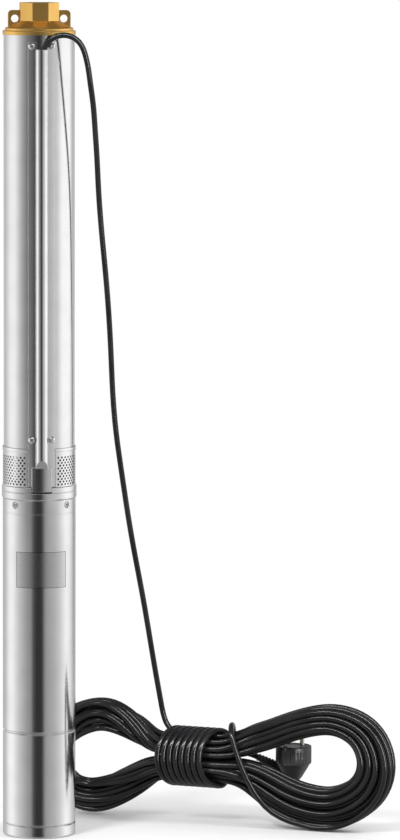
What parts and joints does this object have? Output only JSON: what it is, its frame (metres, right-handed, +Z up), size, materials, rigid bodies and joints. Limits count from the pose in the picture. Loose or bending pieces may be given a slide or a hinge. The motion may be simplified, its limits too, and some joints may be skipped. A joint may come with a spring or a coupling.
{
  "type": "borehole submersible pump",
  "caption": "Slim borehole pump: steel motor tube below, strainer, multistage pump casing with cable guard, brass outlet head with rope eyes, tied hank of cable with plug.",
  "frame": {"origin": "centre of the flat foot of the end cap, on the pump axis", "axes": "+Z up along the pump axis to the outlet, -Y towards the cable guard, +X through a rope eye"},
  "size_m": [0.4182, 0.2103, 0.8705],
  "materials": {
    "brass_casting": "machined, dull",
    "brass_seat": "machined",
    "rubber_black": "matt",
    "cable_jacket": "smooth, slightly glossy",
    "plug_black": "moulded",
    "plug_metal": "plated",
    "tube_steel": "polished stainless steel",
    "sheet_steel": "polished stainless sheet",
    "cast_steel": "turned stainless casting",
    "screw_steel": "zinc bright",
    "shaft_steel": "ground",
    "bearing_steel": "polished",
    "spring_steel": "drawn wire",
    "bowl_plastic": "moulded, glass filled",
    "impeller_plastic": "moulded",
    "valve_plastic": "moulded",
    "bush_carbon": "carbon filled",
    "seal_ceramic": "lapped",
    "lamination": "stacked sheet",
    "winding": "varnished copper",
    "cage_aluminium": "cast",
    "capacitor_case": "moulded"
  },
  "bodies": {
    "pump": {"discharge_head": "brass_casting", "head_o_ring": "rubber_black", "valve_seat": "brass_seat", "valve_cage": "valve_plastic", "valve_spring": "spring_steel", "pump_casing": "tube_steel", "top_spider": "bowl_plastic", "top_bush": "bush_carbon", "stage_bowls": "bowl_plastic", "intake_bracket": "cast_steel", "bracket_bolts": "screw_steel", "strainer_screen": "sheet_steel", "cable_guard": "sheet_steel", "guard_screws": "screw_steel", "cable_gland": "rubber_black", "cable_run": "cable_jacket", "motor_top_cover": "cast_steel", "cover_screws": "screw_steel", "seal_seat": "seal_ceramic", "motor_shell": "tube_steel", "stator_core": "lamination", "stator_windings": "winding", "bearing_outer_races": "bearing_steel", "motor_bottom_cover": "cast_steel", "capacitor_shell": "tube_steel", "capacitor": "capacitor_case", "end_cap": "tube_steel", "shell_o_rings": "rubber_black", "cable_drop": "cable_jacket", "cable_hank": "cable_jacket", "cable_tail": "cable_jacket", "plug_body": "plug_black", "plug_boot": "cable_jacket", "plug_pins": "plug_metal"},
    "rotor": {"motor_shaft": "shaft_steel", "rotor_core": "lamination", "rotor_cage": "cage_aluminium", "bearing_inner_races": "bearing_steel", "seal_ring": "bush_carbon", "coupling": "shaft_steel", "pump_shaft": "shaft_steel", "shaft_spacer": "shaft_steel", "shaft_nut": "screw_steel", "impeller_01": "impeller_plastic", "impeller_02": "impeller_plastic", "impeller_03": "impeller_plastic", "impeller_04": "impeller_plastic", "impeller_05": "impeller_plastic", "impeller_06": "impeller_plastic", "impeller_07": "impeller_plastic", "impeller_08": "impeller_plastic", "impeller_09": "impeller_plastic", "impeller_10": "impeller_plastic", "impeller_11": "impeller_plastic", "impeller_12": "impeller_plastic", "impeller_13": "impeller_plastic", "impeller_14": "impeller_plastic"},
    "bearing_balls": {"bearing_balls": "bearing_steel"},
    "check_valve": {"valve_poppet": "valve_plastic"}
  },
  "joints": [
    {"name": "shaft_spin", "type": "hinge", "parent": "pump", "child": "rotor", "pos_m": [0, 0, 0], "axis": [0, 0, 1], "continuous": true},
    {"name": "ball_cage_spin", "type": "hinge", "parent": "pump", "child": "bearing_balls", "pos_m": [0, 0, 0], "axis": [0, 0, 1], "continuous": true},
    {"name": "valve_lift", "type": "slide", "parent": "pump", "child": "check_valve", "axis": [0, 0, 1], "range_m": [0, 0.008], "stiffness_N_per_m": 200, "springref_m": -0.01, "deforming": ["valve_spring"]}
  ],
  "couplings": [
    {"joint": "ball_cage_spin", "follows": "shaft_spin", "ratio": 0.376}
  ]
}
